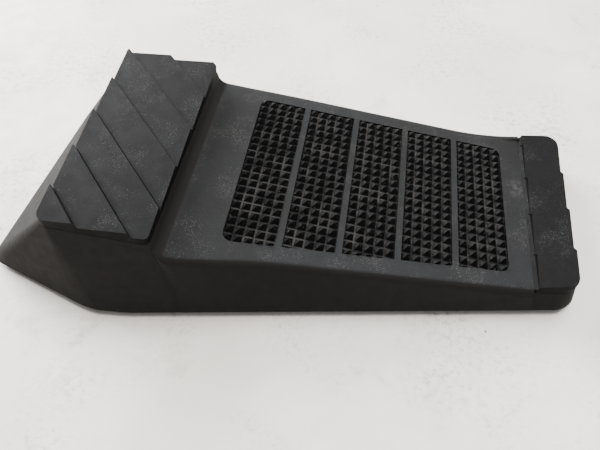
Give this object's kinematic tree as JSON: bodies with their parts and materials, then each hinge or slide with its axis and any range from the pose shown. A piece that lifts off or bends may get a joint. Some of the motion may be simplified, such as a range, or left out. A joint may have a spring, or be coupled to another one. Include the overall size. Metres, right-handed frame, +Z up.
{
  "type": "wheel chock",
  "caption": "Low black wedge-shaped wheel chock with a stepped heel tread, studded ramp strips, a stepped nose tread and a screwed rubber sole.",
  "frame": {"origin": "middle of the bounding box's bottom face, on the surface that the sole rests on", "axes": "+X runs from the high heel to the low nose, +Y across to the straight side, +Z up"},
  "size_m": [0.2676, 0.1286, 0.0538],
  "materials": {
    "shell_plastic": "fine moulded grain, dusty and lightly scuffed",
    "stud_rubber": "matt black rubber with dust in the valleys",
    "tread_rubber": "fine grained dark grey rubber, nicked",
    "sole_rubber": "matt black rubber, worn",
    "screw_steel": "dull zinc plated"
  },
  "bodies": {
    "root": {"body_shell": "shell_plastic", "stud_strip_1": "stud_rubber", "stud_strip_2": "stud_rubber", "stud_strip_3": "stud_rubber", "stud_strip_4": "stud_rubber", "stud_strip_5": "stud_rubber", "heel_tread": "tread_rubber", "nose_tread": "tread_rubber", "base_sole": "sole_rubber", "sole_screws": "screw_steel"}
  },
  "joints": []
}
